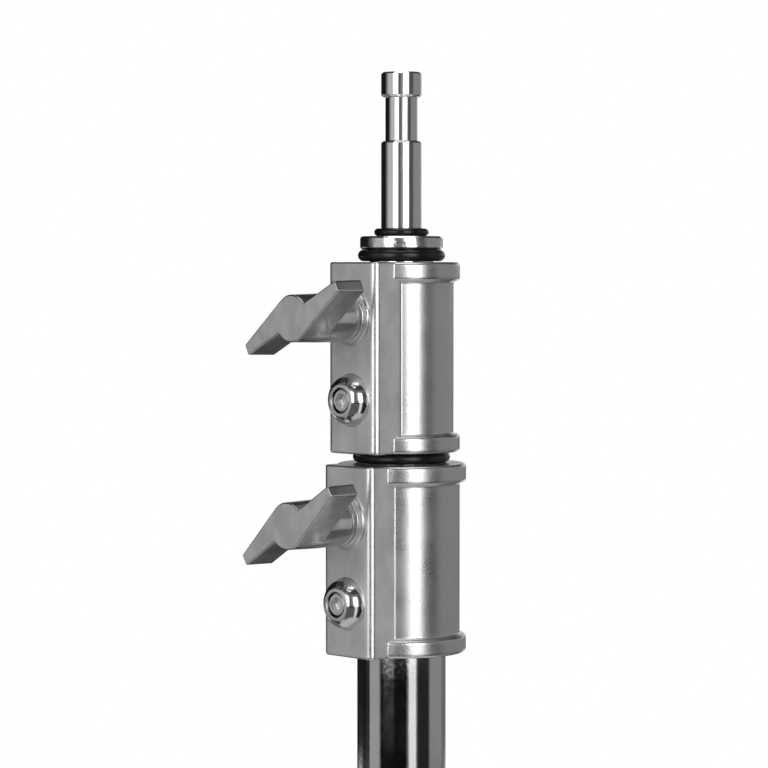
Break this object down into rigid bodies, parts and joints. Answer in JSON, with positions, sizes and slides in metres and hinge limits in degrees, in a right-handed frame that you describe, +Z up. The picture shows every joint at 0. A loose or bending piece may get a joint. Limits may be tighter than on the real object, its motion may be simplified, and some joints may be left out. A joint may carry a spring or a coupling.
{
  "type": "light stand",
  "caption": "Free-standing light stand with three folding tube legs, a lift-off column and two risers clamped by cast collars with T-handles, and a stud on top.",
  "frame": {"origin": "on the floor, on the axis of the column", "axes": "+Z up along the column to the stud, -Y towards the T-handles and the low leg"},
  "size_m": [0.8292, 0.7191, 1.3398],
  "materials": {
    "casting": "satin cast, plated",
    "handle": "satin cast",
    "chrome": "bright chrome",
    "steel": "zinc plated",
    "spring_steel": "blackened",
    "rubber": "smooth",
    "foot_rubber": "matte",
    "black_plastic": "matte",
    "nylon": "matte",
    "brass": "turned"
  },
  "bodies": {
    "base": {"base_post": "chrome", "base_receiver": "casting", "receiver_screw": "steel", "leg_hub_low": "casting", "leg_tube_low": "chrome", "leg_foot_low": "foot_rubber", "leg_rivet_low": "steel", "hub_key_pin": "steel", "hub_washers": "nylon", "disc_spring": "spring_steel", "base_flange_washer": "steel", "base_nut": "steel", "post_plug": "black_plastic"},
    "mid_leg": {"leg_hub_mid": "casting", "leg_tube_mid": "chrome", "leg_foot_mid": "foot_rubber", "leg_rivet_mid": "steel"},
    "high_leg": {"leg_hub_high": "casting", "leg_tube_high": "chrome", "leg_foot_high": "foot_rubber", "leg_rivet_high": "steel"},
    "base_pad": {"base_brake_pad": "brass"},
    "base_knob": {"base_knob_handle": "handle", "base_knob_screw": "steel", "base_knob_washer": "steel"},
    "column_seat": {"column_seat_washer": "nylon"},
    "column": {"column_spigot": "chrome", "spigot_rivet": "steel", "column_tube": "chrome", "lower_collar": "casting", "lower_collar_screw": "steel", "lower_guide_bush": "nylon"},
    "lower_pad": {"lower_brake_pad": "brass"},
    "lower_knob": {"lower_knob_handle": "handle", "lower_knob_screw": "steel", "lower_knob_washer": "steel"},
    "riser_1_glide": {"riser_1_glide_ring": "nylon"},
    "riser_1": {"riser_1_tube": "chrome", "upper_collar": "casting", "upper_collar_screw": "steel", "upper_guide_bush": "nylon", "lower_bumper_ring": "rubber"},
    "upper_pad": {"upper_brake_pad": "brass"},
    "upper_knob": {"upper_knob_handle": "handle", "upper_knob_screw": "steel", "upper_knob_washer": "steel"},
    "riser_2_glide": {"riser_2_glide_ring": "nylon"},
    "riser_2": {"riser_2_tube": "chrome", "stud_cap": "chrome", "stud": "chrome", "stud_o_ring": "rubber", "upper_bumper_ring": "rubber", "stud_rivet": "steel"}
  },
  "joints": [
    {"name": "mid_leg_fold", "type": "hinge", "parent": "base", "child": "mid_leg", "pos_m": [0, 0, 0.1072], "axis": [0, 0, 1], "range_deg": [-110, 0]},
    {"name": "high_leg_fold", "type": "hinge", "parent": "base", "child": "high_leg", "pos_m": [0, 0, 0.1484], "axis": [0, 0, 1], "range_deg": [0, 110]},
    {"name": "column_lift", "type": "slide", "parent": "base", "child": "column_seat", "axis": [0, 0, 1], "range_m": [0, 0.09]},
    {"name": "column_swivel", "type": "hinge", "parent": "column_seat", "child": "column", "pos_m": [0, 0, 0.2431], "axis": [0, 0, 1], "continuous": true},
    {"name": "riser_1_slide", "type": "slide", "parent": "column", "child": "riser_1_glide", "axis": [0, 0, 1], "range_m": [0, 0.8528]},
    {"name": "riser_1_swivel", "type": "hinge", "parent": "riser_1_glide", "child": "riser_1", "pos_m": [0, 0, 0.2971], "axis": [0, 0, 1], "continuous": true},
    {"name": "riser_2_slide", "type": "slide", "parent": "riser_1", "child": "riser_2_glide", "axis": [0, 0, 1], "range_m": [0, 0.8528]},
    {"name": "riser_2_swivel", "type": "hinge", "parent": "riser_2_glide", "child": "riser_2", "pos_m": [0, 0, 0.3761], "axis": [0, 0, 1], "continuous": true},
    {"name": "base_pad_slide", "type": "slide", "parent": "base", "child": "base_pad", "axis": [0, -1, 0], "range_m": [0, 0.0023]},
    {"name": "base_knob_turn", "type": "hinge", "parent": "base_pad", "child": "base_knob", "pos_m": [0, 0, 0.2196], "axis": [0, -1, 0], "range_deg": [0, 540]},
    {"name": "lower_pad_slide", "type": "slide", "parent": "column", "child": "lower_pad", "axis": [0, -1, 0], "range_m": [0, 0.0023]},
    {"name": "lower_knob_turn", "type": "hinge", "parent": "lower_pad", "child": "lower_knob", "pos_m": [0, 0, 1.1651], "axis": [0, -1, 0], "range_deg": [0, 540]},
    {"name": "upper_pad_slide", "type": "slide", "parent": "riser_1", "child": "upper_pad", "axis": [0, -1, 0], "range_m": [0, 0.0023]},
    {"name": "upper_knob_turn", "type": "hinge", "parent": "upper_pad", "child": "upper_knob", "pos_m": [0, 0, 1.2441], "axis": [0, -1, 0], "range_deg": [0, 540]}
  ],
  "couplings": [
    {"joint": "base_pad_slide", "follows": "base_knob_turn", "m_per_rad": 0.00023873},
    {"joint": "lower_pad_slide", "follows": "lower_knob_turn", "m_per_rad": 0.00023873},
    {"joint": "upper_pad_slide", "follows": "upper_knob_turn", "m_per_rad": 0.00023873}
  ]
}
